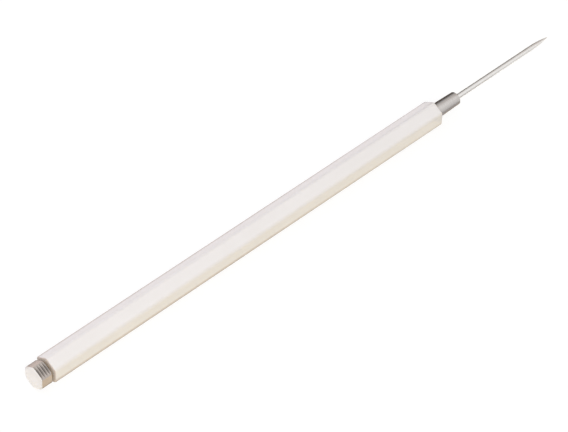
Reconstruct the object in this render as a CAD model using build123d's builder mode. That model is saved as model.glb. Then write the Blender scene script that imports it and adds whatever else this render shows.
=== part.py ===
from build123d import *

import os
from math import cos, pi, sin, sqrt

# Retractable needle tool for pottery. A push button at the rear opens a collet that holds the needle.
# The tool lies on one facet of its hexagonal handle, along X, with its point towards +X and +Z up.
# The origin is under the middle of the whole tool, on the surface that it lies on.

# Clearances, each on the radius or at one end, and the overrun of every cut
seat_clearance = 0.01
grip_clearance = 0.02
running_clearance = 0.03
loose_clearance = 0.1
cut_overrun = 1.0

# Handle: a lacquered hexagonal metal tube
handle_length = 134.8
handle_across_flats = 6.6
handle_edge_radius = 1.0
handle_front_chamfer = 0.12
handle_rear_radius = 0.3
handle_bore_diameter = 4.3

# Nose: a tapered metal collar whose spigot is screwed into the handle
nose_length = 8.9
nose_base_diameter = 4.15
nose_tip_diameter = 3.75
nose_tip_radius = 0.22
spigot_shoulder = 0.25
spigot_length = 9.0
spigot_chamfer = 0.2

# Guide bush in the handle's rear end
bush_length = 5.0
bush_shoulder = 0.3
bush_chamfer = 0.2

# Needle: hardened steel wire ground to a long point with bulging sides
needle_diameter = 1.4
needle_reach = 38.0
needle_held_length = 22.0
needle_point_length = 7.2
needle_point_radius = 0.06
needle_rear_chamfer = 0.15

# Collet: three sprung jaws with a conical head that the nose closes on the needle
collet_head_diameter = 3.1
collet_head_length = 2.2
collet_shank_diameter = 2.5
collet_recess = 0.2
collet_tail_length = 6.0
collet_grip_length = 6.0
jaw_count = 3
jaw_slot_width = 0.3
jaw_slot_length = 14.0

# Push tube between the button and the collet
tube_diameter = 3.0
tube_bore_diameter = 2.2
tube_end_clearance = 0.2

# Return spring around the push tube, its front washer, and the collar that it pushes back
spring_length = 16.4
spring_wire_diameter = 0.4
spring_turn_count = 16
washer_thickness = 0.4
collar_length = 1.5

# Push button: a metal hexagon with grooves across its upper and lower facets
button_length = 3.05
button_across_flats = 5.9
button_edge_radius = 1.4
button_rim_radius = 0.12
button_travel = 0.6
groove_count = 4
groove_width = 0.4
groove_depth = 0.25
first_groove_offset = 0.15
neck_gap = 0.69
neck_across_flats = 3.2
button_shank_length = 6.0

# Button cap: a white disc with a shallow dome, held by a stud
cap_lip = 0.12
cap_dome_rise = 0.2
cap_stud_diameter = 2.4
cap_stud_length = 1.2

# Stations along the tool
overall_length = (
    cap_dome_rise + cap_lip + button_length + neck_gap + handle_length + nose_length + needle_reach
)
cap_rear_x = -overall_length / 2
cap_edge_x = cap_rear_x + cap_dome_rise
button_rear_x = cap_edge_x + cap_lip
button_front_x = button_rear_x + button_length
handle_rear_x = button_front_x + neck_gap
bush_front_x = handle_rear_x + bush_length
handle_front_x = handle_rear_x + handle_length
spigot_rear_x = handle_front_x - spigot_length
nose_front_x = handle_front_x + nose_length
tube_rear_x = bush_front_x
tube_front_x = spigot_rear_x - button_travel - tube_end_clearance
spring_front_x = spigot_rear_x - washer_thickness
spring_rear_x = spring_front_x - spring_length
collet_front_x = nose_front_x - collet_recess
collet_head_rear_x = collet_front_x - collet_head_length
collet_grip_rear_x = collet_front_x - collet_grip_length
collet_rear_x = tube_front_x - collet_tail_length
needle_tip_x = nose_front_x + needle_reach
needle_rear_x = nose_front_x - needle_held_length

# Radii that two pieces share
handle_bore_radius = handle_bore_diameter / 2
bush_seat_radius = handle_bore_radius + bush_shoulder
spigot_seat_radius = handle_bore_radius - spigot_shoulder
tube_radius = tube_diameter / 2
tube_bore_radius = tube_bore_diameter / 2
needle_radius = needle_diameter / 2
collet_shank_radius = collet_shank_diameter / 2
collet_head_radius = collet_head_diameter / 2
cap_stud_radius = cap_stud_diameter / 2

# The tool's axis, and the plane along it on which the turned pieces are drawn as length and radius
axis_height = handle_across_flats / 2
tool_axis = Axis((0, 0, axis_height), (1, 0, 0))
side_plane = Plane(origin=(0, 0, axis_height), x_dir=(1, 0, 0), z_dir=(0, -1, 0))


def cross_plane(x):
    """The plane square to the tool's axis at x, with its local X along Y and its local Y upwards."""
    return Plane(origin=(x, 0, axis_height), x_dir=(0, 1, 0), z_dir=(1, 0, 0))


def draw_hexagon(across_flats):
    """Draws a hexagon with a flat on top in the sketch that is open."""
    RegularPolygon(radius=across_flats / 2, side_count=6, major_radius=False)


os.makedirs("parts", exist_ok=True)

# Handle: rounded long edges, a chamfered front, and a stepped bore that is turned out from end to end
with BuildPart() as handle:
    with BuildSketch(cross_plane(handle_rear_x)) as handle_section:
        draw_hexagon(handle_across_flats)
        fillet(handle_section.vertices(), radius=handle_edge_radius)
    extrude(amount=handle_length)
    chamfer(handle.faces().sort_by(Axis.X)[-1].edges(), length=handle_front_chamfer)
    fillet(handle.faces().sort_by(Axis.X)[0].edges(), radius=handle_rear_radius)
    with BuildSketch(side_plane):
        with BuildLine():
            Polyline(
                (handle_rear_x, 0),
                (handle_rear_x, bush_seat_radius),
                (bush_front_x, bush_seat_radius),
                (bush_front_x, handle_bore_radius),
                (spigot_rear_x, handle_bore_radius),
                (spigot_rear_x, spigot_seat_radius),
                (handle_front_x, spigot_seat_radius),
                (handle_front_x, 0),
                close=True,
            )
        make_face()
    revolve(axis=tool_axis, mode=Mode.SUBTRACT)
handle.part.label = "handle"
export_step(handle.part, "parts/handle.step")

# Guide bush: a turned sleeve whose hexagonal hole guides the button's neck
with BuildPart() as guide_bush:
    with BuildSketch(cross_plane(handle_rear_x)):
        Circle(bush_seat_radius - seat_clearance)
    extrude(amount=bush_length)
    chamfer(guide_bush.faces().sort_by(Axis.X)[-1].edges(), length=bush_chamfer)
    with BuildSketch(cross_plane(handle_rear_x)):
        draw_hexagon(neck_across_flats + 2 * running_clearance)
    extrude(amount=bush_length, mode=Mode.SUBTRACT)
guide_bush.part.label = "guide_bush"
export_step(guide_bush.part, "parts/guide_bush.step")

# Nose collar: its mouth is a cone that runs parallel to the collet's head
with BuildPart() as nose_collar:
    with BuildSketch(side_plane):
        with BuildLine():
            Polyline(
                (spigot_rear_x, collet_shank_radius + running_clearance),
                (spigot_rear_x, spigot_seat_radius - seat_clearance),
                (handle_front_x, spigot_seat_radius - seat_clearance),
                (handle_front_x, nose_base_diameter / 2),
                (nose_front_x, nose_tip_diameter / 2),
                (nose_front_x, collet_head_radius + running_clearance),
                (collet_front_x, collet_head_radius + running_clearance),
                (collet_head_rear_x, collet_shank_radius + running_clearance),
                close=True,
            )
        make_face()
    revolve(axis=tool_axis)
    front_face = nose_collar.faces().filter_by(Axis.X).sort_by(Axis.X)[-1]
    fillet(front_face.edges().sort_by(SortBy.RADIUS)[-1], radius=nose_tip_radius)
    rear_face = nose_collar.faces().filter_by(Axis.X).sort_by(Axis.X)[0]
    chamfer(rear_face.edges().sort_by(SortBy.RADIUS)[-1], length=spigot_chamfer)
nose_collar.part.label = "nose_collar"
export_step(nose_collar.part, "parts/nose_collar.step")

# Spring washer: it lies on the handle's front shoulder and on the spigot's rear face
with BuildPart() as spring_washer:
    with BuildSketch(cross_plane(spring_front_x)):
        Circle(handle_bore_radius - loose_clearance)
        Circle(tube_radius + loose_clearance, mode=Mode.SUBTRACT)
    extrude(amount=washer_thickness)
spring_washer.part.label = "spring_washer"
export_step(spring_washer.part, "parts/spring_washer.step")

# Return spring: a helix midway between the tube and the handle's bore, two arcs to each half turn
spring_radius = (tube_radius + handle_bore_radius) / 2
spring_pitch = (spring_length - spring_wire_diameter) / spring_turn_count
spring_start_x = spring_rear_x + spring_wire_diameter / 2


def helix_point(turns):
    """The centre of the wire after so many turns."""
    turned = 2 * pi * turns
    across = Vector(0, spring_radius * cos(turned), spring_radius * sin(turned))
    return Vector(spring_start_x + spring_pitch * turns, 0, axis_height) + across


def helix_direction(turns):
    """The way that the wire runs after so many turns."""
    turned = 2 * pi * turns
    forward = Vector(spring_pitch / (2 * pi), 0, 0)
    around = Vector(0, -spring_radius * sin(turned), spring_radius * cos(turned))
    return (forward + around).normalized()


def draw_biarc(start, start_direction, end, end_direction):
    """Draws two tangent arcs that leave start and reach end in the given directions."""
    chord = end - start
    along = chord.dot(start_direction + end_direction)
    turn = 2 * (1 - start_direction.dot(end_direction))
    reach = (sqrt(along**2 + turn * chord.dot(chord)) - along) / turn
    start_control = start + start_direction * reach
    end_control = end - end_direction * reach
    meeting = (start_control + end_control) / 2
    TangentArc(start, meeting, tangent=start_direction)
    TangentArc(meeting, end, tangent=end_control - start_control)


with BuildPart() as return_spring:
    with BuildLine() as spring_path:
        for half_turn in range(2 * spring_turn_count):
            here = half_turn / 2
            there = (half_turn + 1) / 2
            draw_biarc(helix_point(here), helix_direction(here), helix_point(there), helix_direction(there))
    with BuildSketch(Plane(origin=helix_point(0), z_dir=helix_direction(0))):
        Circle(spring_wire_diameter / 2)
    sweep()
return_spring.part.label = "return_spring"
export_step(return_spring.part, "parts/return_spring.step")

# The least gap between the spring's own turns, measured on points along its centre line
points_per_turn = 24
spring_points = [helix_point(i / points_per_turn) for i in range(points_per_turn * spring_turn_count + 1)]
least_distance = min(
    (spring_points[j] - spring_points[i]).length
    for i in range(len(spring_points))
    for j in range(i + points_per_turn // 2, len(spring_points))
)
print("least gap in the return spring, mm:", round(least_distance - spring_wire_diameter, 3))

# Spring collar: a ring fixed on the push tube, which the spring pushes back
with BuildPart() as spring_collar:
    with BuildSketch(cross_plane(spring_rear_x)):
        Circle(handle_bore_radius - loose_clearance)
        Circle(tube_radius + seat_clearance, mode=Mode.SUBTRACT)
    extrude(amount=-collar_length)
spring_collar.part.label = "spring_collar"
export_step(spring_collar.part, "parts/spring_collar.step")

# Push tube
with BuildPart() as push_tube:
    with BuildSketch(cross_plane(tube_rear_x)):
        Circle(tube_radius)
        Circle(tube_bore_radius, mode=Mode.SUBTRACT)
    extrude(amount=tube_front_x - tube_rear_x)
push_tube.part.label = "push_tube"
export_step(push_tube.part, "parts/push_tube.step")

# Collet: turned to shape, then slit from the front into jaws
with BuildPart() as collet:
    with BuildSketch(side_plane):
        with BuildLine():
            Polyline(
                (collet_rear_x, needle_radius + loose_clearance),
                (collet_rear_x, tube_bore_radius - seat_clearance),
                (tube_front_x, tube_bore_radius - seat_clearance),
                (tube_front_x, collet_shank_radius),
                (collet_head_rear_x, collet_shank_radius),
                (collet_front_x, collet_head_radius),
                (collet_front_x, needle_radius + grip_clearance),
                (collet_grip_rear_x, needle_radius + grip_clearance),
                (collet_grip_rear_x, needle_radius + loose_clearance),
                close=True,
            )
        make_face()
    revolve(axis=tool_axis)
    with BuildSketch(cross_plane(collet_front_x)):
        with PolarLocations(0, jaw_count, start_angle=90):
            Rectangle(collet_head_diameter, jaw_slot_width, align=(Align.MIN, Align.CENTER))
    extrude(amount=-jaw_slot_length, mode=Mode.SUBTRACT)
collet.part.label = "collet"
export_step(collet.part, "parts/collet.step")

# Push button: a grooved head, a hexagonal neck through the guide bush and a round shank in the push tube
groove_pitch = button_length / groove_count
with BuildPart() as push_button:
    with BuildSketch(cross_plane(button_rear_x)) as button_section:
        draw_hexagon(button_across_flats)
        fillet(button_section.vertices(), radius=button_edge_radius)
    extrude(amount=button_length)
    fillet(push_button.faces().sort_by(Axis.X)[-1].edges(), radius=button_rim_radius)
    with BuildSketch(side_plane):
        for groove in range(groove_count):
            groove_x = button_rear_x + first_groove_offset + groove * groove_pitch
            with Locations((groove_x, button_across_flats / 2)):
                Rectangle(groove_width, groove_depth, align=(Align.MIN, Align.MAX))
            with Locations((groove_x, -button_across_flats / 2)):
                Rectangle(groove_width, groove_depth, align=(Align.MIN, Align.MIN))
    extrude(amount=button_across_flats, both=True, mode=Mode.SUBTRACT)
    with BuildSketch(cross_plane(button_front_x)):
        draw_hexagon(neck_across_flats)
    extrude(amount=tube_rear_x - button_front_x)
    with BuildSketch(cross_plane(tube_rear_x)):
        Circle(tube_bore_radius - seat_clearance)
    extrude(amount=button_shank_length)
    with BuildSketch(cross_plane(button_rear_x)):
        Circle(cap_stud_radius + seat_clearance)
    extrude(amount=cap_stud_length + loose_clearance, mode=Mode.SUBTRACT)
push_button.part.label = "push_button"
export_step(push_button.part, "parts/push_button.step")

# Button cap: the button's own outline under a dome that reaches its corners, with a stud in the button
corner_radius = (button_across_flats - button_edge_radius * 2) / sqrt(3) + button_edge_radius
dome_radius = (corner_radius**2 + cap_dome_rise**2) / (2 * cap_dome_rise)
dome_reach = corner_radius + cut_overrun
dome_edge = (cap_rear_x + dome_radius - sqrt(dome_radius**2 - dome_reach**2), dome_reach)
with BuildPart() as button_cap:
    with BuildSketch(cross_plane(button_rear_x)) as cap_section:
        draw_hexagon(button_across_flats)
        fillet(cap_section.vertices(), radius=button_edge_radius)
    extrude(amount=-(cap_lip + cap_dome_rise + cut_overrun))
    with BuildSketch(side_plane):
        with BuildLine():
            TangentArc((cap_rear_x, 0), dome_edge, tangent=(0, 1))
            Polyline(
                dome_edge,
                (button_rear_x + cut_overrun, dome_reach),
                (button_rear_x + cut_overrun, 0),
                (cap_rear_x, 0),
            )
        make_face()
    revolve(axis=tool_axis, mode=Mode.INTERSECT)
    with BuildSketch(cross_plane(button_rear_x)):
        Circle(cap_stud_radius)
    extrude(amount=cap_stud_length)
button_cap.part.label = "button_cap"
export_step(button_cap.part, "parts/button_cap.step")

# Needle: the sides of its point are arcs that leave the wire at a tangent and meet the round tip at another
point_reach = needle_point_length - needle_point_radius
point_taper = needle_radius - needle_point_radius
side_radius = (point_reach**2 + needle_radius**2 - needle_point_radius**2) / (2 * point_taper)
centre_distance = side_radius - needle_point_radius
tip_slope = point_reach / centre_distance
tip_rise = (side_radius - needle_radius) / centre_distance
tip_start = (
    needle_tip_x - needle_point_radius + needle_point_radius * tip_slope,
    needle_point_radius * tip_rise,
)
point_start = (needle_tip_x - needle_point_length, needle_radius)
with BuildPart() as needle:
    with BuildSketch(side_plane):
        with BuildLine():
            Polyline(
                (needle_tip_x, 0),
                (needle_rear_x, 0),
                (needle_rear_x, needle_radius - needle_rear_chamfer),
                (needle_rear_x + needle_rear_chamfer, needle_radius),
                point_start,
            )
            TangentArc(point_start, tip_start, tangent=(1, 0))
            TangentArc(tip_start, (needle_tip_x, 0), tangent=(tip_rise, -tip_slope))
        make_face()
    revolve(axis=tool_axis)
needle.part.label = "needle"
export_step(needle.part, "parts/needle.step")
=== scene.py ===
from math import asin, atan, atan2, cos, pi, radians, sin, sqrt

import bpy
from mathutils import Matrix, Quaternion, Vector


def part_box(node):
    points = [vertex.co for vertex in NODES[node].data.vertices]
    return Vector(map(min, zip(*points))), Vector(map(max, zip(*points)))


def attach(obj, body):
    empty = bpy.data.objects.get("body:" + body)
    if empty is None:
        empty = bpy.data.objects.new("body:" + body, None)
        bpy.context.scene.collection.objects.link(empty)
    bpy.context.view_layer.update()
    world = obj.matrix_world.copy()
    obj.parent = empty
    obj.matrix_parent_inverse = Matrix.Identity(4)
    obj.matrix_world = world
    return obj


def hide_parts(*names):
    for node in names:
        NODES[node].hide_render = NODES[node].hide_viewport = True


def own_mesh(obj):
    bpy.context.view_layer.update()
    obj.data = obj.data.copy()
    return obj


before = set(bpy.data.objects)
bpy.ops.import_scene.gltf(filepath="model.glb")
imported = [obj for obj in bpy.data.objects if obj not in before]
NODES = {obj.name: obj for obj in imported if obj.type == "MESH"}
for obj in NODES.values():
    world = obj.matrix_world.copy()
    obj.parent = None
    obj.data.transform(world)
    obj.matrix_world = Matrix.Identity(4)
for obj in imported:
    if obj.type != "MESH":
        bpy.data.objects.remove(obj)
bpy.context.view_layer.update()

# Metres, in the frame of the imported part: X along the tool towards its point, Z up, the surface at Z = 0.
MM = 0.001

# Stations along the tool and widths across it, read from the boxes of the solids
handle_low, handle_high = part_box("handle")
button_low, button_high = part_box("push_button")
nose_low, nose_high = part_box("nose_collar")
needle_low, needle_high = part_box("needle")
spring_low, spring_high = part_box("return_spring")

AXIS_HEIGHT = (handle_low[2] + handle_high[2]) / 2
HANDLE_REAR = handle_low[0]
HANDLE_FRONT = handle_high[0]
HANDLE_FLATS = handle_high[2] - handle_low[2]
BUTTON_REAR = button_low[0]
SHANK_FRONT = button_high[0]
BUTTON_FLATS = button_high[2] - button_low[2]
CAP_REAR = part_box("button_cap")[0][0]
NOSE_FRONT = nose_high[0]
SPIGOT_REAR = nose_low[0]
TUBE_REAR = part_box("push_tube")[0][0]
BUSH_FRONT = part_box("guide_bush")[1][0]
COLLET_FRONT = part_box("collet")[1][0]
NEEDLE_REAR = needle_low[0]
NEEDLE_TIP = needle_high[0]
NEEDLE_RADIUS = (needle_high[2] - needle_low[2]) / 2
SPRING_REAR = spring_low[0]
SPRING_FRONT = spring_high[0]
SPRING_RADIUS = (spring_high[2] - spring_low[2]) / 2

# Sizes that the solids' boxes don't give
SEAT_CLEARANCE = 0.01 * MM
RUNNING_CLEARANCE = 0.03 * MM
HANDLE_EDGE_RADIUS = 1.0 * MM
HANDLE_FRONT_RADIUS = 0.14 * MM
HANDLE_REAR_RADIUS = 0.3 * MM
BORE_RADIUS = 2.15 * MM
BUSH_SEAT_RADIUS = 2.45 * MM
SPIGOT_SEAT_RADIUS = 1.9 * MM
BUTTON_LENGTH = 3.05 * MM
BUTTON_EDGE_RADIUS = 1.4 * MM
BUTTON_RIM_RADIUS = 0.12 * MM
GROOVE_COUNT = 4
GROOVE_PITCH = BUTTON_LENGTH / GROOVE_COUNT
GROOVE_WIDTH = 0.4 * MM
GROOVE_DEPTH = 0.25 * MM
FIRST_GROOVE_OFFSET = 0.15 * MM
FIRST_GROOVE_MIDDLE = BUTTON_REAR + FIRST_GROOVE_OFFSET + GROOVE_WIDTH / 2
GROOVE_SPREAD_SHARE = 0.78
GROOVE_ROUNDNESS = 1.3
NECK_FLATS = 3.2 * MM
NECK_EDGE_RADIUS = 0.05 * MM
SHANK_RADIUS = 1.09 * MM
STUD_RADIUS = 1.2 * MM
STUD_LENGTH = 1.2 * MM
STUD_HOLE_DEPTH = 1.3 * MM
DOME_RISE = 0.2 * MM
CAP_RIM_RADIUS = 0.09 * MM
NOSE_BASE_RADIUS = 2.075 * MM
NOSE_TIP_RADIUS = 1.875 * MM
NOSE_EDGE_RADIUS = 0.22 * MM
NOSE_BASE_BREAK = 0.05 * MM
SPIGOT_CHAMFER = 0.2 * MM
COLLET_SHANK_RADIUS = 1.25 * MM
COLLET_HEAD_RADIUS = 1.55 * MM
COLLET_HEAD_LENGTH = 2.2 * MM
MOUTH_RADIUS = COLLET_HEAD_RADIUS + RUNNING_CLEARANCE
THROAT_RADIUS = COLLET_SHANK_RADIUS + RUNNING_CLEARANCE
NEEDLE_POINT_LENGTH = 7.2 * MM
NEEDLE_POINT_RADIUS = 0.06 * MM
NEEDLE_REAR_CHAMFER = 0.15 * MM
SPRING_WIRE_RADIUS = 0.2 * MM
SPRING_TURNS = 16
LEAST_EDGE_RADIUS = 0.02 * MM

# How finely the pieces are cut
CORNER_STEPS = 12
FLAT_STEPS = 10
TURNED_STEPS = 96
NEEDLE_STEPS = 40
POINT_STEPS = 20
WIRE_STEPS = 14
COIL_STEPS = 28
GROOVE_STEPS = 16
DOME_STEPS = 18
ROUNDING_STEPS = 6
STEP_LENGTH = 1.2 * MM
CAP_POLE_SHARE = 0.01
NEEDLE_POLE_SHARE = 0.02

# How a mesh is shaded: sharp above this angle, with normals that follow the large faces
SHARP_ANGLE = radians(40)
FACET_WEIGHT = 80


# Cross sections, as a distance from the axis for each angle. Angles run from +Y towards +Z.

def corner_distance(across_flats, edge_radius):
    """How far the centres of a hexagon's rounded corners lie from its axis."""
    return (across_flats / 2 - edge_radius) / cos(pi / 6)


def hexagon_angles(across_flats, edge_radius):
    """Angles of the points round a hexagon with rounded corners, close together in the corners."""
    centre = corner_distance(across_flats, edge_radius)
    half_corner = [
        atan2(
            edge_radius * sin(pi / 6 * step / CORNER_STEPS),
            centre + edge_radius * cos(pi / 6 * step / CORNER_STEPS),
        )
        for step in range(CORNER_STEPS + 1)
    ]
    half_flat = pi / 6 - half_corner[-1]
    angles = []
    for side in range(6):
        corner = side * pi / 3
        angles += [corner + angle for angle in half_corner]
        for step in range(1, 2 * FLAT_STEPS):
            angles.append(corner + half_corner[-1] + half_flat * step / FLAT_STEPS)
        angles += [corner + pi / 3 - angle for angle in reversed(half_corner[1:])]
    return angles


def round_angles(count):
    """Evenly spaced angles."""
    return [2 * pi * step / count for step in range(count)]


def hexagon_radius(angle, across_flats, edge_radius):
    """Distance from the axis to a hexagon with rounded corners and a flat on top."""
    from_corner = abs((angle + pi / 6) % (pi / 3) - pi / 6)
    centre = corner_distance(across_flats, edge_radius)
    to_flat = pi / 6 - from_corner
    if to_flat < atan(centre / across_flats):
        return across_flats / 2 / cos(to_flat)
    return centre * cos(from_corner) + sqrt(edge_radius**2 - (centre * sin(from_corner)) ** 2)


def hexagon_ring(x, angles, across_flats, edge_radius, inset=0.0):
    """A hexagonal ring of points at x, moved inwards by inset."""
    flats = across_flats - 2 * inset
    radius = max(edge_radius - inset, LEAST_EDGE_RADIUS)
    return [(x, angle, hexagon_radius(angle, flats, radius)) for angle in angles]


def round_ring(x, angles, radius):
    """A round ring of points at x."""
    return [(x, angle, radius) for angle in angles]


def quarter(steps):
    """Sine and cosine along a quarter circle, both ends included."""
    return [(sin(pi / 2 * step / steps), cos(pi / 2 * step / steps)) for step in range(steps + 1)]


def stretch(start, end):
    """Stations between two ends, about STEP_LENGTH apart, both ends left out."""
    count = max(int((end - start) / STEP_LENGTH), 1)
    return [start + (end - start) * step / count for step in range(1, count)]


# Meshes

def place(point):
    """The point of the frame for a length, an angle and a radius about the tool's axis."""
    x, angle, radius = point
    return (x, radius * cos(angle), AXIS_HEIGHT + radius * sin(angle))


def skin(name, rings, closed):
    """One mesh over rings that follow each other.

    Closed joins the last ring to the first, as in a tube.
    Otherwise the first and last rings shrink to a point on the axis.
    """
    count = len(rings[0])
    vertices = [place(point) for ring in rings for point in ring]
    faces = []
    pairs = len(rings) if closed else len(rings) - 1
    for row in range(pairs):
        here = row * count
        there = (row + 1) % len(rings) * count
        for column in range(count):
            after = (column + 1) % count
            faces.append((here + column, here + after, there + after, there + column))
    if not closed:
        for ring, start, turn in ((rings[0], 0, -1), (rings[-1], (len(rings) - 1) * count, 1)):
            pole = len(vertices)
            vertices.append((ring[0][0], 0, AXIS_HEIGHT))
            for column in range(count):
                after = (column + 1) % count
                faces.append((start + column, start + after, pole)[::turn])
    piece = new_piece(name, vertices, faces)
    normals = piece.modifiers.new("flat_facets", "WEIGHTED_NORMAL")
    normals.keep_sharp = True
    normals.weight = FACET_WEIGHT
    return piece


def new_piece(name, vertices, faces):
    """A smooth mesh with sharp edges where its faces meet steeply."""
    mesh = bpy.data.meshes.new(name)
    mesh.from_pydata(vertices, [], faces)
    mesh.validate()
    mesh.shade_smooth()
    piece = bpy.data.objects.new(name, mesh)
    bpy.context.scene.collection.objects.link(piece)
    mesh.set_sharp_from_angle(angle=SHARP_ANGLE)
    return piece


def dress(piece, body, node, material):
    """Puts a piece on its body in place of a solid and material."""
    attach(piece, body)
    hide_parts(node)
    piece.data.materials.append(material)


# Materials. Their patterns are measured in millimetres on the piece itself.

# Spans of a noise's values. The narrower the span, the harder the pattern.
WIDE_SPAN = (0.2, 0.8)
GRAIN_SPAN = (0.25, 0.75)
NOISE_SPAN = (0.3, 0.7)
CLOUD_SPAN = (0.35, 0.65)
WHOLE_SPAN = (0.0, 1.0)

# Lacquer: waves to a millimetre, lengths in millimetres, and how much shows through
LACQUER_COAT = {"Coat Weight": 1.0, "Coat Roughness": 0.07, "Coat IOR": 1.5}
LACQUER_ROUGHNESS = (0.26, 0.36)
BLOTCH_SCALE = 0.12
LACQUER_GRAIN_SCALE = 2.6
ORANGE_PEEL_SCALE = 0.85
ORANGE_PEEL_DEPTH = 0.004 * MM
CLEAR_COAT_DEPTH = 0.003 * MM
WORN_EDGE_SCALE = 0.9
WORN_EDGE_RAGGEDNESS = 0.06
WORN_EDGE_START = 0.2
WORN_EDGE_END = 0.36
# Painted shade on the two side edges: its heights from the axis, its amounts there, and its fading along the
# tool
SIDE_SHADE_HEIGHTS = (0.45, 1.15)
SIDE_SHADE_AMOUNTS = (0.8, 0.0)
SIDE_SHADE_FADING = (1.0, 0.3)
THIN_RIM_START = 0.3
THIN_RIM_END = 0.05

# Enamel
ENAMEL_COAT = {"Coat Weight": 0.8, "Coat Roughness": 0.1, "Coat IOR": 1.5}
ENAMEL_ROUGHNESS = (0.27, 0.4)
CLOUD_SCALE = 0.4
ENAMEL_GRAIN_SCALE = 4.0
SWELL_SCALE = 0.7
ENAMEL_SWELL_DEPTH = 0.006 * MM
ENAMEL_COAT_DEPTH = 0.004 * MM

# Metal: turned, drawn and plated
COARSE_RING_WIDTH = 6
COARSE_RING_DEPTH = 0.6
TURNED_STAIN_SCALE = 0.5
TURNED_STAIN_SPAN = (0.15, 0.35)
RING_ROUGHNESS = (-0.04, 0.04)
STAIN_ROUGHNESS = (0.0, 0.06)
DRAWN_STAIN_SCALE = 0.35
DRAWN_LINE_STRETCH = 0.05
DRAWN_SMOOTHER = 0.05
DRAWN_ROUGHER = 0.07
PLATED_STAIN_SCALE = 0.6
PLATED_LINE_STRETCH = 0.08
PLATED_SMOOTHER = 0.04
PLATED_ROUGHER = 0.06

# Painted shade and dirt on the button: lengths in millimetres, shares of half a groove or facet, and how
# much lies there
SHADE_AND_DIRT_SCALE = 3.0
SHADE_AND_DIRT_RAGGEDNESS = 0.05
SHADE_AND_DIRT_ROUGHNESS = 0.2
GROOVE_FLOOR_SHARES = (0.5, 1.2)
RIB_FOOT = 0.1
CREST_DEPTH = 0.01
CREST_AMOUNTS = (1.0, 0.6)
# Across the facet the painted shade and dirt thin out towards the ends of the ribs, which leaves a painted
# glint there
CREST_SHARES = (0.15, 0.5)
CREST_SHADE_AND_DIRT = (0.45, 0.0)
GROOVE_SHARES = (0.2, 0.55)
GROOVE_SHADE_AND_DIRT = (0.95, 0.35)


def add_node(tree, kind, values=None, **settings):
    """A shader node with its settings and its unlinked inputs."""
    node = tree.nodes.new(kind)
    for key, value in settings.items():
        setattr(node, key, value)
    for key, value in (values or {}).items():
        node.inputs[key].default_value = value
    return node


def feed(tree, value, socket):
    """Gives an input its value, which is another node's output, a colour or a plain number."""
    if isinstance(value, bpy.types.NodeSocket):
        tree.links.new(value, socket)
    else:
        socket.default_value = (*value, 1) if isinstance(value, tuple) else value


def new_material(name, values):
    """A material whose surface is one principled shader with these inputs."""
    material = bpy.data.materials.new(name)
    material.use_nodes = True
    shader = material.node_tree.nodes["Principled BSDF"]
    for key, value in values.items():
        shader.inputs[key].default_value = value
    return material, material.node_tree, shader


def vector_math(tree, operation, vector, other=None):
    """A vector node on a vector and, where it takes one, a second plain vector."""
    node = add_node(tree, "ShaderNodeVectorMath", operation=operation)
    tree.links.new(vector, node.inputs[0])
    if other:
        node.inputs[1].default_value = other
    return node


def piece_coordinates(tree):
    """Places on the piece in millimetres, with Z counted from the tool's axis."""
    source = add_node(tree, "ShaderNodeTexCoord")
    centred = vector_math(tree, "SUBTRACT", source.outputs["Object"], (0, 0, AXIS_HEIGHT))
    scaled = vector_math(tree, "SCALE", centred.outputs[0])
    scaled.inputs["Scale"].default_value = 1 / MM
    return scaled.outputs[0]


def stretched(tree, vector, factors):
    """The coordinates with each axis multiplied by its factor."""
    return vector_math(tree, "MULTIPLY", vector, factors).outputs[0]


def axes(tree, vector):
    """The X, Y and Z of a vector."""
    parts = add_node(tree, "ShaderNodeSeparateXYZ")
    tree.links.new(vector, parts.inputs[0])
    return parts.outputs["X"], parts.outputs["Y"], parts.outputs["Z"]


def axis_distance(tree, vector):
    """Distance from the tool's axis."""
    return vector_math(tree, "LENGTH", stretched(tree, vector, (0, 1, 1))).outputs["Value"]


def combine(tree, operation, first, second):
    """Two numbers, joined by a math operation. Each is a socket or a plain number."""
    node = add_node(tree, "ShaderNodeMath", operation=operation)
    feed(tree, first, node.inputs[0])
    feed(tree, second, node.inputs[1])
    return node.outputs[0]


def size_of(tree, value):
    """A number without its sign."""
    return combine(tree, "ABSOLUTE", value, 0.0)


def noise(tree, vector, scale, detail=2.0, roughness=0.5, lines=False):
    """Noise of about one wave for each 1 / scale millimetres. With lines, the input is a single number."""
    values = {"Scale": scale, "Detail": detail, "Roughness": roughness}
    node = add_node(tree, "ShaderNodeTexNoise", values, noise_dimensions="1D" if lines else "3D")
    tree.links.new(vector, node.inputs["W" if lines else "Vector"])
    return node.outputs["Fac"]


def between(tree, value, span, result=WHOLE_SPAN):
    """The value's span, carried over to another one and held at its ends."""
    node = add_node(tree, "ShaderNodeMapRange", {"From Min": span[0], "From Max": span[1]})
    tree.links.new(value, node.inputs["Value"])
    feed(tree, result[0], node.inputs["To Min"])
    feed(tree, result[1], node.inputs["To Max"])
    return node.outputs["Result"]


def mix_colours(tree, factor, first, second):
    """A mix of two colours, each of them a colour or a socket."""
    node = add_node(tree, "ShaderNodeMix", data_type="RGBA")
    tree.links.new(factor, node.inputs["Factor"])
    feed(tree, first, node.inputs[6])
    feed(tree, second, node.inputs[7])
    return node.outputs[2]


def roughened(tree, value, vector, scale, amount):
    """A length made uneven by noise, by up to this amount either way."""
    unevenness = between(tree, noise(tree, vector, scale), WHOLE_SPAN, (-amount, amount))
    return combine(tree, "ADD", value, unevenness)


def add_bump(tree, shader, height, depth, socket="Normal"):
    """Bump from a height of 0 to 1 that stands for a depth in metres."""
    node = add_node(tree, "ShaderNodeBump", {"Strength": 1.0, "Distance": depth})
    tree.links.new(height, node.inputs["Height"])
    tree.links.new(node.outputs["Normal"], shader.inputs[socket])


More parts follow.
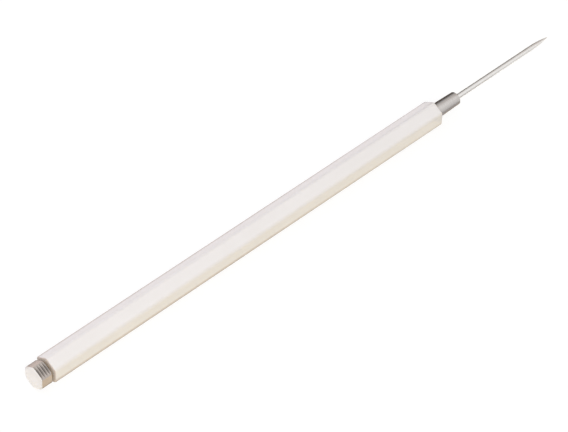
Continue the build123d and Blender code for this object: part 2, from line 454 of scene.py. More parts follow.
def lacquer(name, light, dark, edge, rim_and_shade):
    """Sprayed white lacquer: faint blotches, orange peel under a clear gloss, thinner on edges and rims,
    painted shade on two sides.
    """
    material, tree, shader = new_material(name, LACQUER_COAT)
    vector = piece_coordinates(tree)
    blotches = between(tree, noise(tree, vector, BLOTCH_SCALE, detail=3.0), CLOUD_SPAN)
    colour = mix_colours(tree, blotches, light, dark)

    # Worn on the long edges, by the distance from the axis
    flat = HANDLE_FLATS / 2 / MM
    ragged = roughened(tree, axis_distance(tree, vector), vector, WORN_EDGE_SCALE, WORN_EDGE_RAGGEDNESS)
    worn = between(tree, ragged, (flat + WORN_EDGE_START, flat + WORN_EDGE_END))
    colour = mix_colours(tree, worn, colour, edge)

    # Painted shade on the two edges at the height of the axis, less towards the front
    x, y, z = axes(tree, vector)
    middle = (HANDLE_REAR + HANDLE_FRONT) / 2 / MM
    half = (HANDLE_FRONT - HANDLE_REAR) / 2 / MM
    side_shade = between(tree, size_of(tree, z), SIDE_SHADE_HEIGHTS, SIDE_SHADE_AMOUNTS)
    fading = between(tree, x, (middle, middle + half), SIDE_SHADE_FADING)
    colour = mix_colours(tree, combine(tree, "MULTIPLY", side_shade, fading), colour, rim_and_shade)

    # Thin on both end rims
    from_middle = size_of(tree, combine(tree, "SUBTRACT", x, middle))
    thin = between(tree, from_middle, (half - THIN_RIM_START, half - THIN_RIM_END))
    tree.links.new(mix_colours(tree, thin, colour, rim_and_shade), shader.inputs["Base Color"])

    grain = noise(tree, vector, LACQUER_GRAIN_SCALE, detail=3.0, roughness=0.6)
    tree.links.new(between(tree, grain, WIDE_SPAN, LACQUER_ROUGHNESS), shader.inputs["Roughness"])
    peel = noise(tree, vector, ORANGE_PEEL_SCALE, detail=1.5, roughness=0.4)
    add_bump(tree, shader, peel, ORANGE_PEEL_DEPTH)
    add_bump(tree, shader, peel, CLEAR_COAT_DEPTH, "Coat Normal")
    return material


def turned_metal(name, light, dark, roughness, line_scale, line_depth, metallic=1.0):
    """Metal turned on a lathe: fine rings of uneven depth, a few deeper ones, and faint stains."""
    material, tree, shader = new_material(name, {"Metallic": metallic})
    vector = piece_coordinates(tree)
    # The same all round the tool: the length along it plus the distance from its axis
    turned = combine(tree, "ADD", axes(tree, vector)[0], axis_distance(tree, vector))
    fine = noise(tree, turned, line_scale, detail=3.0, roughness=0.7, lines=True)
    coarse = noise(tree, turned, line_scale / COARSE_RING_WIDTH, roughness=0.6, lines=True)
    stains = noise(tree, vector, TURNED_STAIN_SCALE, detail=4.0, roughness=0.6)
    tint = between(tree, combine(tree, "MULTIPLY", stains, coarse), TURNED_STAIN_SPAN)
    tree.links.new(mix_colours(tree, tint, dark, light), shader.inputs["Base Color"])
    from_rings = between(tree, fine, NOISE_SPAN, RING_ROUGHNESS)
    from_stains = between(tree, stains, NOISE_SPAN, STAIN_ROUGHNESS)
    spread = combine(tree, "ADD", from_rings, from_stains)
    tree.links.new(combine(tree, "ADD", spread, roughness), shader.inputs["Roughness"])
    height = combine(tree, "ADD", fine, combine(tree, "MULTIPLY", coarse, COARSE_RING_DEPTH))
    add_bump(tree, shader, height, line_depth)
    return material


def drawn_metal(name, light, dark, roughness, line_scale, line_depth):
    """Drawn wire and tube: long fine lines along the tool and faint stains."""
    material, tree, shader = new_material(name, {"Metallic": 1.0})
    vector = piece_coordinates(tree)
    lines = noise(tree, stretched(tree, vector, (DRAWN_LINE_STRETCH, 1, 1)), line_scale, roughness=0.6)
    stains = between(tree, noise(tree, vector, DRAWN_STAIN_SCALE, detail=4.0, roughness=0.6), NOISE_SPAN)
    tree.links.new(mix_colours(tree, stains, dark, light), shader.inputs["Base Color"])
    spread = between(tree, lines, NOISE_SPAN, (roughness - DRAWN_SMOOTHER, roughness + DRAWN_ROUGHER))
    tree.links.new(spread, shader.inputs["Roughness"])
    add_bump(tree, shader, lines, line_depth)
    return material


def shares_of(whole, shares):
    """A span between two shares of a length."""
    return (whole * shares[0], whole * shares[1])


def groove_shade_and_dirt(tree, vector):
    """Where painted shade and dirt lie on the button: in its grooves, most in their middle, and a little on
    the ribs.
    """
    x, y, z = axes(tree, vector)
    facet = BUTTON_FLATS / 2 / MM
    depth = GROOVE_DEPTH / MM
    half = GROOVE_WIDTH / 2 / MM
    from_first = combine(tree, "SUBTRACT", x, FIRST_GROOVE_MIDDLE / MM)
    wave = combine(tree, "PINGPONG", from_first, GROOVE_PITCH / 2 / MM)
    ragged = roughened(tree, wave, vector, SHADE_AND_DIRT_SCALE, SHADE_AND_DIRT_RAGGEDNESS)
    inside = between(tree, ragged, shares_of(half, GROOVE_FLOOR_SHARES), (1.0, 0.0))

    height = size_of(tree, z)
    on_ribs = between(tree, height, (facet - depth - RIB_FOOT, facet - depth))
    below_crest = between(tree, height, (facet - CREST_DEPTH, facet), CREST_AMOUNTS)
    on_ribs = combine(tree, "MULTIPLY", on_ribs, below_crest)
    # Less painted shade and dirt towards the ends of the ribs, a painted glint there
    from_middle = size_of(tree, y)
    on_crests = between(tree, from_middle, shares_of(facet, CREST_SHARES), CREST_SHADE_AND_DIRT)
    in_grooves = between(tree, from_middle, shares_of(facet, GROOVE_SHARES), GROOVE_SHADE_AND_DIRT)
    shaded_and_dirty = between(tree, inside, WHOLE_SPAN, (on_crests, in_grooves))
    return combine(tree, "MULTIPLY", shaded_and_dirty, on_ribs)


def ribbed_metal(name, light, dark, shade_and_dirt, roughness, line_scale, line_depth):
    """Hexagonal bar, drawn and plated: long fine lines and faint stains, with painted shade and dirt in its
    cut grooves and on its ribs.
    """
    material, tree, shader = new_material(name, {"Metallic": 1.0})
    vector = piece_coordinates(tree)
    lines = noise(tree, stretched(tree, vector, (PLATED_LINE_STRETCH, 1, 1)), line_scale, roughness=0.6)
    stains = between(tree, noise(tree, vector, PLATED_STAIN_SCALE, detail=4.0, roughness=0.6), NOISE_SPAN)
    plate = mix_colours(tree, stains, dark, light)
    shaded_and_dirty = groove_shade_and_dirt(tree, vector)
    # The plate darkened by the painted shade and dirt
    tree.links.new(mix_colours(tree, shaded_and_dirty, plate, shade_and_dirt), shader.inputs["Base Color"])
    spread = between(tree, lines, NOISE_SPAN, (roughness - PLATED_SMOOTHER, roughness + PLATED_ROUGHER))
    dulled = combine(tree, "ADD", spread, combine(tree, "MULTIPLY", shaded_and_dirty, SHADE_AND_DIRT_ROUGHNESS))
    tree.links.new(dulled, shader.inputs["Roughness"])
    add_bump(tree, shader, lines, line_depth)
    return material


def enamel(name, light, dark):
    """Poured white enamel: smooth and glossy, with a slow swell and a few dull specks."""
    material, tree, shader = new_material(name, ENAMEL_COAT)
    vector = piece_coordinates(tree)
    cloud = between(tree, noise(tree, vector, CLOUD_SCALE, detail=3.0), CLOUD_SPAN)
    tree.links.new(mix_colours(tree, cloud, light, dark), shader.inputs["Base Color"])
    grain = noise(tree, vector, ENAMEL_GRAIN_SCALE, detail=3.0, roughness=0.6)
    tree.links.new(between(tree, grain, GRAIN_SPAN, ENAMEL_ROUGHNESS), shader.inputs["Roughness"])
    swell = noise(tree, vector, SWELL_SCALE, detail=1.0, roughness=0.4)
    add_bump(tree, shader, swell, ENAMEL_SWELL_DEPTH)
    add_bump(tree, shader, swell, ENAMEL_COAT_DEPTH, "Coat Normal")
    return material


# Pieces

def build_handle():
    """Hexagonal tube: soft rims at both ends, and a bore with the seats of the bush and the nose."""
    angles = hexagon_angles(HANDLE_FLATS, HANDLE_EDGE_RADIUS)
    rings = []

    def outside(x, inset):
        rings.append(hexagon_ring(x, angles, HANDLE_FLATS, HANDLE_EDGE_RADIUS, inset))

    for sine, cosine in quarter(ROUNDING_STEPS):
        outside(HANDLE_REAR + HANDLE_REAR_RADIUS * (1 - cosine), HANDLE_REAR_RADIUS * (1 - sine))
    for x in stretch(HANDLE_REAR + HANDLE_REAR_RADIUS, HANDLE_FRONT - HANDLE_FRONT_RADIUS):
        outside(x, 0)
    for sine, cosine in quarter(ROUNDING_STEPS):
        outside(HANDLE_FRONT - HANDLE_FRONT_RADIUS * (1 - sine), HANDLE_FRONT_RADIUS * (1 - cosine))
    lacquered_rings = len(rings)
    bore = [
        (HANDLE_FRONT, SPIGOT_SEAT_RADIUS),
        (SPIGOT_REAR, SPIGOT_SEAT_RADIUS),
        (SPIGOT_REAR, BORE_RADIUS),
        (BUSH_FRONT, BORE_RADIUS),
        (BUSH_FRONT, BUSH_SEAT_RADIUS),
        (HANDLE_REAR, BUSH_SEAT_RADIUS),
    ]
    rings += [round_ring(x, angles, radius) for x, radius in bore]
    piece = skin("handle_body", rings, closed=True)
    dress(piece, "handle_assembly", "handle", MATERIALS["lacquer"])
    piece.data.materials.append(MATERIALS["bare_end"])
    for face in piece.data.polygons:
        row = face.index // len(angles)
        face.material_index = 0 if row < lacquered_rings else 1


def groove_cut(x):
    """Depth of the grooves at x: round-bottomed, between ribs with round crests."""
    across = (x - FIRST_GROOVE_MIDDLE + GROOVE_PITCH / 2) % GROOVE_PITCH - GROOVE_PITCH / 2
    inside = 1 - min(abs(across) / (GROOVE_WIDTH * GROOVE_SPREAD_SHARE), 1)
    return GROOVE_DEPTH * sin(pi / 2 * inside) ** GROOVE_ROUNDNESS


def below(half_height, angle, radius):
    """The radius at an angle, cut down to a plane above or below the axis."""
    upright = abs(sin(angle))
    return half_height / upright if upright * radius > half_height else radius


def build_button():
    """Push button: a hexagonal head with ribs across its top and bottom, then its neck and its shank."""
    angles = hexagon_angles(BUTTON_FLATS, BUTTON_EDGE_RADIUS)
    front = BUTTON_REAR + BUTTON_LENGTH
    rings = [
        round_ring(BUTTON_REAR + STUD_HOLE_DEPTH, angles, STUD_RADIUS + SEAT_CLEARANCE),
        round_ring(BUTTON_REAR, angles, STUD_RADIUS + SEAT_CLEARANCE),
    ]

    def ribbed(x, inset):
        half_height = BUTTON_FLATS / 2 - groove_cut(x)
        ring = hexagon_ring(x, angles, BUTTON_FLATS, BUTTON_EDGE_RADIUS, inset)
        rings.append([(x, angle, below(half_height, angle, radius)) for x, angle, radius in ring])

    steps = GROOVE_COUNT * GROOVE_STEPS
    for step in range(steps):
        ribbed(BUTTON_REAR + (BUTTON_LENGTH - BUTTON_RIM_RADIUS) * step / steps, 0)
    for sine, cosine in quarter(ROUNDING_STEPS):
        ribbed(front - BUTTON_RIM_RADIUS * (1 - sine), BUTTON_RIM_RADIUS * (1 - cosine))
    rings += [
        hexagon_ring(front, angles, NECK_FLATS, NECK_EDGE_RADIUS),
        hexagon_ring(TUBE_REAR, angles, NECK_FLATS, NECK_EDGE_RADIUS),
        round_ring(TUBE_REAR, angles, SHANK_RADIUS),
        round_ring(SHANK_FRONT, angles, SHANK_RADIUS),
    ]
    piece = skin("button_body", rings, closed=False)
    dress(piece, "clutch", "push_button", MATERIALS["button_metal"])


def build_cap():
    """Button cap: a domed disc with a soft rim, and its stud."""
    angles = hexagon_angles(BUTTON_FLATS, BUTTON_EDGE_RADIUS)
    corner = corner_distance(BUTTON_FLATS, BUTTON_EDGE_RADIUS) + BUTTON_EDGE_RADIUS
    dome_radius = (corner**2 + DOME_RISE**2) / (2 * DOME_RISE)

    def dome(radius):
        return CAP_REAR + dome_radius - sqrt(dome_radius**2 - radius**2)

    edge = hexagon_ring(BUTTON_REAR, angles, BUTTON_FLATS, BUTTON_EDGE_RADIUS)
    rings = [
        round_ring(BUTTON_REAR + STUD_LENGTH, angles, STUD_RADIUS),
        round_ring(BUTTON_REAR, angles, STUD_RADIUS),
        edge,
    ]
    for sine, cosine in quarter(ROUNDING_STEPS):
        ring = []
        for x, angle, radius in edge:
            inner = radius - CAP_RIM_RADIUS * (1 - cosine)
            ring.append((dome(inner) + CAP_RIM_RADIUS * (1 - sine), angle, inner))
        rings.append(ring)
    for step in range(1, DOME_STEPS):
        share = 1 - step / DOME_STEPS
        ring = []
        for x, angle, radius in edge:
            inner = (radius - CAP_RIM_RADIUS) * share
            ring.append((dome(inner), angle, inner))
        rings.append(ring)
    rings.append([(CAP_REAR, angle, CAP_POLE_SHARE * radius) for x, angle, radius in edge])
    piece = skin("cap_disc", rings[::-1], closed=False)
    dress(piece, "clutch", "button_cap", MATERIALS["enamel"])


def build_nose():
    """Nose collar: spigot, tapered nose with a rounded front edge, and a conical mouth for the collet."""
    angles = round_angles(TURNED_STEPS)
    outline = [
        (SPIGOT_REAR, THROAT_RADIUS),
        (SPIGOT_REAR, SPIGOT_SEAT_RADIUS - SEAT_CLEARANCE - SPIGOT_CHAMFER),
        (SPIGOT_REAR + SPIGOT_CHAMFER, SPIGOT_SEAT_RADIUS - SEAT_CLEARANCE),
        (HANDLE_FRONT, SPIGOT_SEAT_RADIUS - SEAT_CLEARANCE),
        (HANDLE_FRONT, NOSE_BASE_RADIUS - NOSE_BASE_BREAK),
        (HANDLE_FRONT + NOSE_BASE_BREAK, NOSE_BASE_RADIUS),
    ]
    taper = (NOSE_BASE_RADIUS - NOSE_TIP_RADIUS) / (NOSE_FRONT - HANDLE_FRONT)
    for x in stretch(HANDLE_FRONT + NOSE_BASE_BREAK, NOSE_FRONT - NOSE_EDGE_RADIUS):
        outline.append((x, NOSE_BASE_RADIUS - taper * (x - HANDLE_FRONT)))
    flank = NOSE_BASE_RADIUS - taper * (NOSE_FRONT - NOSE_EDGE_RADIUS - HANDLE_FRONT)
    for sine, cosine in quarter(2 * ROUNDING_STEPS):
        x = NOSE_FRONT - NOSE_EDGE_RADIUS * (1 - sine)
        outline.append((x, flank - NOSE_EDGE_RADIUS * (1 - cosine)))
    outline += [
        (NOSE_FRONT, MOUTH_RADIUS),
        (COLLET_FRONT, MOUTH_RADIUS),
        (COLLET_FRONT - COLLET_HEAD_LENGTH, THROAT_RADIUS),
    ]
    piece = skin("nose_body", [round_ring(x, angles, radius) for x, radius in outline], closed=True)
    dress(piece, "handle_assembly", "nose_collar", MATERIALS["nose_metal"])


def build_needle():
    """Needle: a straight shank and a long point with bulging sides and a small round tip."""
    angles = round_angles(NEEDLE_STEPS)
    point_start = NEEDLE_TIP - NEEDLE_POINT_LENGTH
    tip_centre = NEEDLE_TIP - NEEDLE_POINT_RADIUS
    reach = NEEDLE_POINT_LENGTH - NEEDLE_POINT_RADIUS
    taper = NEEDLE_RADIUS - NEEDLE_POINT_RADIUS
    side_radius = (reach**2 + NEEDLE_RADIUS**2 - NEEDLE_POINT_RADIUS**2) / (2 * taper)
    side_turn = asin(reach / (side_radius - NEEDLE_POINT_RADIUS))
    outline = [
        (NEEDLE_REAR, NEEDLE_RADIUS - NEEDLE_REAR_CHAMFER),
        (NEEDLE_REAR + NEEDLE_REAR_CHAMFER, NEEDLE_RADIUS),
    ]
    outline += [(x, NEEDLE_RADIUS) for x in stretch(NEEDLE_REAR + NEEDLE_REAR_CHAMFER, point_start)]
    for step in range(POINT_STEPS):
        turn = side_turn * step / POINT_STEPS
        x = point_start + side_radius * sin(turn)
        outline.append((x, NEEDLE_RADIUS - side_radius * (1 - cos(turn))))
    for step in range(ROUNDING_STEPS):
        turn = side_turn + (pi / 2 - side_turn) * step / ROUNDING_STEPS
        outline.append((tip_centre + NEEDLE_POINT_RADIUS * sin(turn), NEEDLE_POINT_RADIUS * cos(turn)))
    outline.append((NEEDLE_TIP, NEEDLE_POLE_SHARE * NEEDLE_POINT_RADIUS))
    piece = skin("needle_rod_body", [round_ring(x, angles, radius) for x, radius in outline], closed=False)
    dress(piece, "needle_rod", "needle", MATERIALS["needle"])


def build_spring():
    """Return spring: a coil of round wire."""
    radius = SPRING_RADIUS - SPRING_WIRE_RADIUS
    start = SPRING_REAR + SPRING_WIRE_RADIUS
    pitch = (SPRING_FRONT - SPRING_REAR - 2 * SPRING_WIRE_RADIUS) / SPRING_TURNS
    axis = Vector((0, 0, AXIS_HEIGHT))
    vertices = []
    for step in range(SPRING_TURNS * COIL_STEPS + 1):
        turn = 2 * pi * step / COIL_STEPS
        outwards = Vector((0, cos(turn), sin(turn)))
        along = Vector((pitch / (2 * pi), -radius * sin(turn), radius * cos(turn))).normalized()
        sideways = along.cross(outwards)
        centre = axis + Vector((start + pitch * step / COIL_STEPS, 0, 0)) + radius * outwards
        for angle in round_angles(WIRE_STEPS):
            vertices.append(centre + SPRING_WIRE_RADIUS * (cos(angle) * outwards + sin(angle) * sideways))
    faces = []
    for row in range(SPRING_TURNS * COIL_STEPS):
        here = row * WIRE_STEPS
        there = here + WIRE_STEPS
        for column in range(WIRE_STEPS):
            after = (column + 1) % WIRE_STEPS
            faces.append((here + column, here + after, there + after, there + column))
    faces.append(tuple(range(WIRE_STEPS))[::-1])
    faces.append(tuple(range(len(vertices) - WIRE_STEPS, len(vertices))))
    piece = new_piece("spring_coil", vertices, faces)
    dress(piece, "handle_assembly", "return_spring", MATERIALS["spring"])
    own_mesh(piece)


# Every finish, by what it is for
MATERIALS = {
    "lacquer": lacquer(
        "white_lacquer",
        light=(0.865, 0.855, 0.87),
        dark=(0.85, 0.84, 0.85),
        edge=(0.84, 0.82, 0.82),
        # The colour of the thin end rims and of the painted shade on the side edges
        rim_and_shade=(0.6, 0.52, 0.47),
    ),
    "bare_end": turned_metal(
        "bare_end_metal",
        light=(0.82, 0.75, 0.68),
        dark=(0.75, 0.68, 0.62),
        roughness=0.55,
        line_scale=14,
        line_depth=0.002 * MM,
        metallic=0.25,
    ),
    "enamel": enamel("cap_enamel", light=(0.855, 0.84, 0.84), dark=(0.835, 0.815, 0.815)),
    "nose_metal": turned_metal(
        "nose_metal",
        light=(0.66, 0.63, 0.61),
        dark=(0.63, 0.6, 0.58),
        roughness=0.16,
        line_scale=11,
        line_depth=0.0002 * MM,
    ),
    "button_metal": ribbed_metal(
        "button_metal",
        light=(0.59, 0.53, 0.49),
        dark=(0.54, 0.48, 0.44),
        # The colour of the painted shade and dirt on the ribs and in the grooves
        shade_and_dirt=(0.22, 0.2, 0.185),
        roughness=0.2,
        line_scale=9,
        line_depth=0.001 * MM,
    ),
    "dull_brass": turned_metal(
        "dull_brass",
        light=(0.8, 0.7, 0.58),
        dark=(0.73, 0.64, 0.54),
        roughness=0.5,
        line_scale=10,
        line_depth=0.001 * MM,
        metallic=0.3,
    ),
    "needle": drawn_metal(
        "needle_steel",
        light=(0.91, 0.895, 0.875),
        dark=(0.87, 0.855, 0.835),
        roughness=0.27,
        line_scale=9,
        line_depth=0.0001 * MM,
    ),
    "spring": drawn_metal(
        "spring_steel",
        light=(0.5, 0.5, 0.5),
        dark=(0.4, 0.4, 0.4),
        roughness=0.25,
        line_scale=12,
        line_depth=0.001 * MM,
    ),
    "tube": drawn_metal(
        "drawn_steel",
        light=(0.6, 0.6, 0.6),
        dark=(0.5, 0.5, 0.49),
        roughness=0.3,
        line_scale=8,
        line_depth=0.002 * MM,
    ),
    "washer": turned_metal(
        "pressed_steel",
        light=(0.6, 0.6, 0.6),
        dark=(0.5, 0.5, 0.49),
        roughness=0.32,
        line_scale=9,
        line_depth=0.001 * MM,
    ),
    "brass": turned_metal(
        "turned_brass",
        light=(0.78, 0.58, 0.3),
        dark=(0.7, 0.5, 0.25),
        roughness=0.24,
        line_scale=10,
        line_depth=0.001 * MM,
    ),
}

# The finishes of the pieces inside, by their nodes
INNER_MATERIALS = {
    "guide_bush": "dull_brass",
    "spring_collar": "brass",
    "collet": "brass",
    "spring_washer": "washer",
    "push_tube": "tube",
}


def dress_inner_pieces():
    """The pieces inside keep their solids and get their own finishes."""
    for node, material in INNER_MATERIALS.items():
        materials = NODES[node].data.materials
        if not materials:
            materials.append(MATERIALS[material])
        for index in range(len(materials)):
            materials[index] = MATERIALS[material]


# Studio

# The camera: what it looks at, from how far and which way, and its turn about its own line of sight
CAMERA_TARGET = Vector((-10.604, -0.86, 3.3)) * MM
CAMERA_DISTANCE = 0.59955
CAMERA_AZIMUTH = radians(-80.316)
CAMERA_ELEVATION = radians(56.797)
CAMERA_ROLL = radians(44.845)
CAMERA_LENS = 151.895
CAMERA_CLIP_START = 10 * MM
SENSOR_WIDTH = 36.0


def place_camera():
    """The photo's view: from above the button's end, with the tool rising to the upper right."""
    level = cos(CAMERA_ELEVATION)
    backwards = Vector((sin(CAMERA_AZIMUTH) * level, -cos(CAMERA_AZIMUTH) * level, sin(CAMERA_ELEVATION)))
    camera = bpy.data.objects.new("camera", bpy.data.cameras.new("camera"))
    bpy.context.scene.collection.objects.link(camera)
    camera.data.sensor_width = SENSOR_WIDTH
    camera.data.lens = CAMERA_LENS
    camera.data.clip_start = CAMERA_CLIP_START
    camera.location = CAMERA_TARGET + backwards * CAMERA_DISTANCE
    turn = backwards.to_track_quat("Z", "Y") @ Quaternion((0, 0, 1), CAMERA_ROLL)
    camera.rotation_euler = turn.to_euler()
    bpy.context.scene.camera = camera


# The floor, how much of the lamps' light falls on it, how strongly its shadow shows, and the world's level
FLOOR_HALF_SIDE = 3.0
FLOOR_ALBEDO = 0.7
FLOOR_LIGHT = 0.76
CAMERA_SHADOW_SHARE = 0.2
MIRRORED_SHADOW_SHARE = 1.25
WORLD_LEVEL = 0.5


def new_stage_material(name):
    """An empty material, its node tree and the input of its surface."""
    material = bpy.data.materials.new(name)
    material.use_nodes = True
    tree = material.node_tree
    tree.nodes.clear()
    return material, tree, add_node(tree, "ShaderNodeOutputMaterial").inputs["Surface"]


def new_stage_mesh(name, vertices, faces, material):
    """A mesh of the studio with its material."""
    mesh = bpy.data.meshes.new(name)
    mesh.from_pydata(vertices, [], faces)
    mesh.materials.append(material)
    thing = bpy.data.objects.new(name, mesh)
    bpy.context.scene.collection.objects.link(thing)
    return thing


def grey(level):
    """A grey of one level."""
    return (level, level, level, 1)


def white_with_shadow(tree, share):
    """White that takes this share of its brightness from the lamps, so that shadows show by that much."""
    shaded = add_node(tree, "ShaderNodeBsdfDiffuse", {"Color": grey(share)})
    white = add_node(tree, "ShaderNodeEmission", {"Strength": 1 - share * FLOOR_LIGHT})
    both = add_node(tree, "ShaderNodeAddShader")
    tree.links.new(shaded.outputs[0], both.inputs[0])
    tree.links.new(white.outputs[0], both.inputs[1])
    return both.outputs[0]


def mix_shaders(tree, factor, first, second):
    """One shader for a factor of 0, the other for 1."""
    mix = add_node(tree, "ShaderNodeMixShader")
    for index, socket in enumerate((factor, first, second)):
        tree.links.new(socket, mix.inputs[index])
    return mix.outputs[0]


def build_floor():
    """A plain pale floor. The camera and mirrors see it white with the tool's shadow, fuller in mirrors."""
    material, tree, surface = new_stage_material("floor")
    path = add_node(tree, "ShaderNodeLightPath")
    bounce = add_node(tree, "ShaderNodeBsdfDiffuse", {"Color": grey(FLOOR_ALBEDO)})
    seen = mix_shaders(
        tree,
        path.outputs["Is Camera Ray"],
        white_with_shadow(tree, MIRRORED_SHADOW_SHARE),
        white_with_shadow(tree, CAMERA_SHADOW_SHARE),
    )
    tree.links.new(mix_shaders(tree, seen_plainly(tree), bounce.outputs[0], seen), surface)
    half = FLOOR_HALF_SIDE
    corners = [(-half, -half, 0), (half, -half, 0), (half, half, 0), (-half, half, 0)]
    floor = new_stage_mesh("floor", corners, [(0, 1, 2, 3)], material)


def seen_plainly(tree):
    """1 for the camera's rays and for those that mirrors and glass send on, 0 for light on the object."""
    path = add_node(tree, "ShaderNodeLightPath")
    seen = combine(tree, "MAXIMUM", path.outputs["Is Camera Ray"], path.outputs["Is Glossy Ray"])
    return combine(tree, "MAXIMUM", seen, path.outputs["Is Transmission Ray"])


def build_world():
    """White all round for the camera and in reflections, and a plain level of light on the object."""
    world = bpy.data.worlds.new("studio")
    bpy.context.scene.world = world
    world.use_nodes = True
    tree = world.node_tree
    background = tree.nodes["Background"]
    background.inputs["Color"].default_value = (1, 1, 1, 1)
    level = between(tree, seen_plainly(tree), (0, 1), (WORLD_LEVEL, 1.0))
    tree.links.new(level, background.inputs["Strength"])


# The tent's size
TENT_RADIUS = 0.3
TENT_HALF_LENGTH = 0.35
TENT_STEPS = 48

# How bright the tent is overhead, and where it meets the table at the rear, front left and front right
TENT_ZENITH_LEVEL = 1.0
TENT_REAR_HORIZON = 0.8
TENT_LEFT_HORIZON = 0.2
TENT_RIGHT_HORIZON = 0.4

# Where the tent's levels change, across the tool and along it
TENT_SIDES = (-0.03, 0.03)
TENT_FADE = (0.12, 0.23)


def seen_in_reflections_only(thing):
    """Keeps a studio card out of the picture and out of the light, so that only reflections show it."""
    thing.visible_camera = False
    thing.visible_diffuse = False
    thing.visible_transmission = False
    thing.visible_shadow = False


def build_tent():
    """A light tent over the tool, bright overhead and darker towards the table."""
    material, tree, surface = new_stage_material("tent")
    cloth = add_node(tree, "ShaderNodeEmission")
    source = add_node(tree, "ShaderNodeTexCoord")
    x, y, z = axes(tree, source.outputs["Object"])
    front = between(tree, y, TENT_SIDES, (TENT_RIGHT_HORIZON, TENT_LEFT_HORIZON))
    horizon = between(tree, x, TENT_FADE, (TENT_REAR_HORIZON, front))
    level = between(tree, z, (0.0, TENT_RADIUS), (horizon, TENT_ZENITH_LEVEL))
    tree.links.new(level, cloth.inputs["Strength"])
    tree.links.new(cloth.outputs[0], surface)
    vertices = []
    for step in range(TENT_STEPS + 1):
        turn = pi * step / TENT_STEPS
        for end in (-TENT_HALF_LENGTH, TENT_HALF_LENGTH):
            vertices.append((end, TENT_RADIUS * cos(turn), TENT_RADIUS * sin(turn)))
    faces = [(first, first + 1, first + 3, first + 2) for first in range(0, 2 * TENT_STEPS, 2)]
    seen_in_reflections_only(new_stage_mesh("tent", vertices, faces, material))


# How high the cards lie on the table, and how high they stand
CARD_HEIGHT = 0.1 * MM
CARD_TOP = 0.25

# Edges of the cards across the table, as distances from the tool's axis
BUTTON_NEAR_EDGE = 2.8 * MM
NEAR_EDGE = 3.7 * MM
SIDE_EDGE = 8 * MM
GRAZED_EDGE = 20 * MM
FAR_EDGE = 0.25

# Edges of the cards along the tool
BUTTON_CARD_END = -0.088
FRONT_START = 0.0485
FACET_END = 0.0535
NOSE_END = 0.074
CARD_END = 0.3

# Cards on the table: their ends along the tool, their right and left edges, and their colours
FLAT_CARDS = {
    # The two rim cards, dark and just beside the tool, are painted shadow: the floor's shadow there as
    # reflections show it
    "left_rim_shadow_card": ((-CARD_END, FRONT_START), (NEAR_EDGE, SIDE_EDGE), (0.35, 0.29, 0.28)),
    "left_card": ((-CARD_END, FACET_END), (SIDE_EDGE, FAR_EDGE), (0.96, 0.88, 0.86)),
    "left_nose_card": ((FRONT_START, CARD_END), (NEAR_EDGE, SIDE_EDGE), (0.12, 0.1, 0.09)),
    "left_front_card": ((FACET_END, CARD_END), (SIDE_EDGE, FAR_EDGE), (0.12, 0.1, 0.09)),
    "right_button_card": ((-CARD_END, BUTTON_CARD_END), (-SIDE_EDGE, -BUTTON_NEAR_EDGE), (0.62, 0.53, 0.42)),
    "right_rim_shadow_card": ((BUTTON_CARD_END, FRONT_START), (-SIDE_EDGE, -NEAR_EDGE), (0.24, 0.2, 0.16)),
    "right_card": ((-CARD_END, FACET_END), (-FAR_EDGE, -SIDE_EDGE), (1.0, 0.89, 0.72)),
    "right_nose_card": ((FRONT_START, NOSE_END), (-SIDE_EDGE, -NEAR_EDGE), (0.42, 0.37, 0.33)),
    "right_side_card": ((FACET_END, NOSE_END), (-GRAZED_EDGE, -SIDE_EDGE), (0.52, 0.49, 0.47)),
    "right_far_card": ((FACET_END, CARD_END), (-FAR_EDGE, -GRAZED_EDGE), (0.4, 0.38, 0.37)),
    "right_front_card": ((NOSE_END, CARD_END), (-GRAZED_EDGE, -NEAR_EDGE), (0.85, 0.83, 0.8)),
}

# Cards that stand across the far end of the table: their right and left edges, and their colours
END_CARDS = {
    "left_end_card": ((0, FAR_EDGE), (0.6, 0.54, 0.5)),
    "right_end_card": ((-TENT_RADIUS, 0), (0.88, 0.87, 0.86)),
}


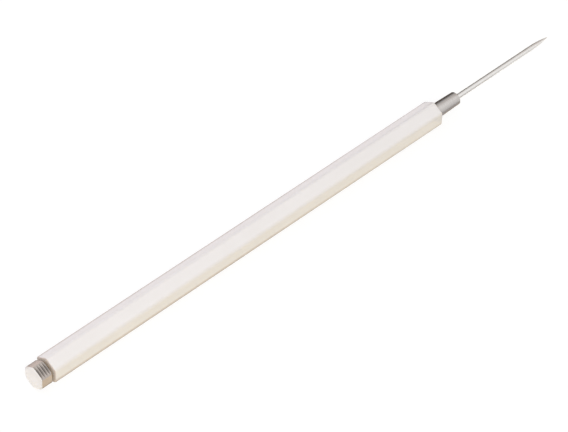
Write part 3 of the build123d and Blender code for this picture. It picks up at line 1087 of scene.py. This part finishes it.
def add_card(name, corners, colour):
    """A card of one colour in the reflections, by its four corners in order."""
    material, tree, surface = new_stage_material(name)
    paint = add_node(tree, "ShaderNodeEmission", {"Color": (*colour, 1), "Strength": 1.0})
    tree.links.new(paint.outputs[0], surface)
    seen_in_reflections_only(new_stage_mesh(name, corners, [(0, 1, 2, 3)], material))


def build_cards():
    """The cards on the table beside the tool, then those that face it from the far end."""
    z = CARD_HEIGHT
    for name, ((rear, front), (right, left), colour) in FLAT_CARDS.items():
        add_card(name, [(rear, right, z), (front, right, z), (front, left, z), (rear, left, z)], colour)
    x = CARD_END
    for name, ((right, left), colour) in END_CARDS.items():
        add_card(name, [(x, right, 0), (x, left, 0), (x, left, CARD_TOP), (x, right, CARD_TOP)], colour)


# Lamps: the azimuth and elevation that they shine from, their distance, size, level and colour
LAMPS = {
    "key": (180, 70, 0.9, 0.7, 0.26, (0.72, 0.8, 1)),
    "rear_fill": (180, 15, 0.6, 0.4, 0.09, (0.9, 0.92, 1)),
    "left_fill": (112, 35, 0.9, 0.7, 0.305, (1, 0.865, 0.785)),
    "right_fill": (-118, 33, 0.9, 0.7, 0.33, (1, 0.78, 0.32)),
}


def add_lamp(name, azimuth, elevation, distance, size, level, colour):
    """A square soft lamp. At level 1 it alone lights a white surface that faces it to white."""
    lamp = bpy.data.lights.new(name, "AREA")
    lamp.shape = "SQUARE"
    lamp.size = size
    lamp.energy = level * pi**2 * distance**2
    lamp.color = colour
    holder = bpy.data.objects.new(name, lamp)
    bpy.context.scene.collection.objects.link(holder)
    flat = cos(radians(elevation))
    towards = Vector((cos(radians(azimuth)) * flat, sin(radians(azimuth)) * flat, sin(radians(elevation))))
    holder.location = towards * distance
    holder.rotation_euler = towards.to_track_quat("Z", "Y").to_euler()
    holder.visible_glossy = False


build_handle()
build_button()
build_cap()
build_nose()
build_needle()
build_spring()
dress_inner_pieces()
place_camera()
build_floor()
build_world()
build_tent()
build_cards()
for lamp_name, lamp_values in LAMPS.items():
    add_lamp(lamp_name, *lamp_values)

bpy.context.scene.view_settings.view_transform = "Standard"
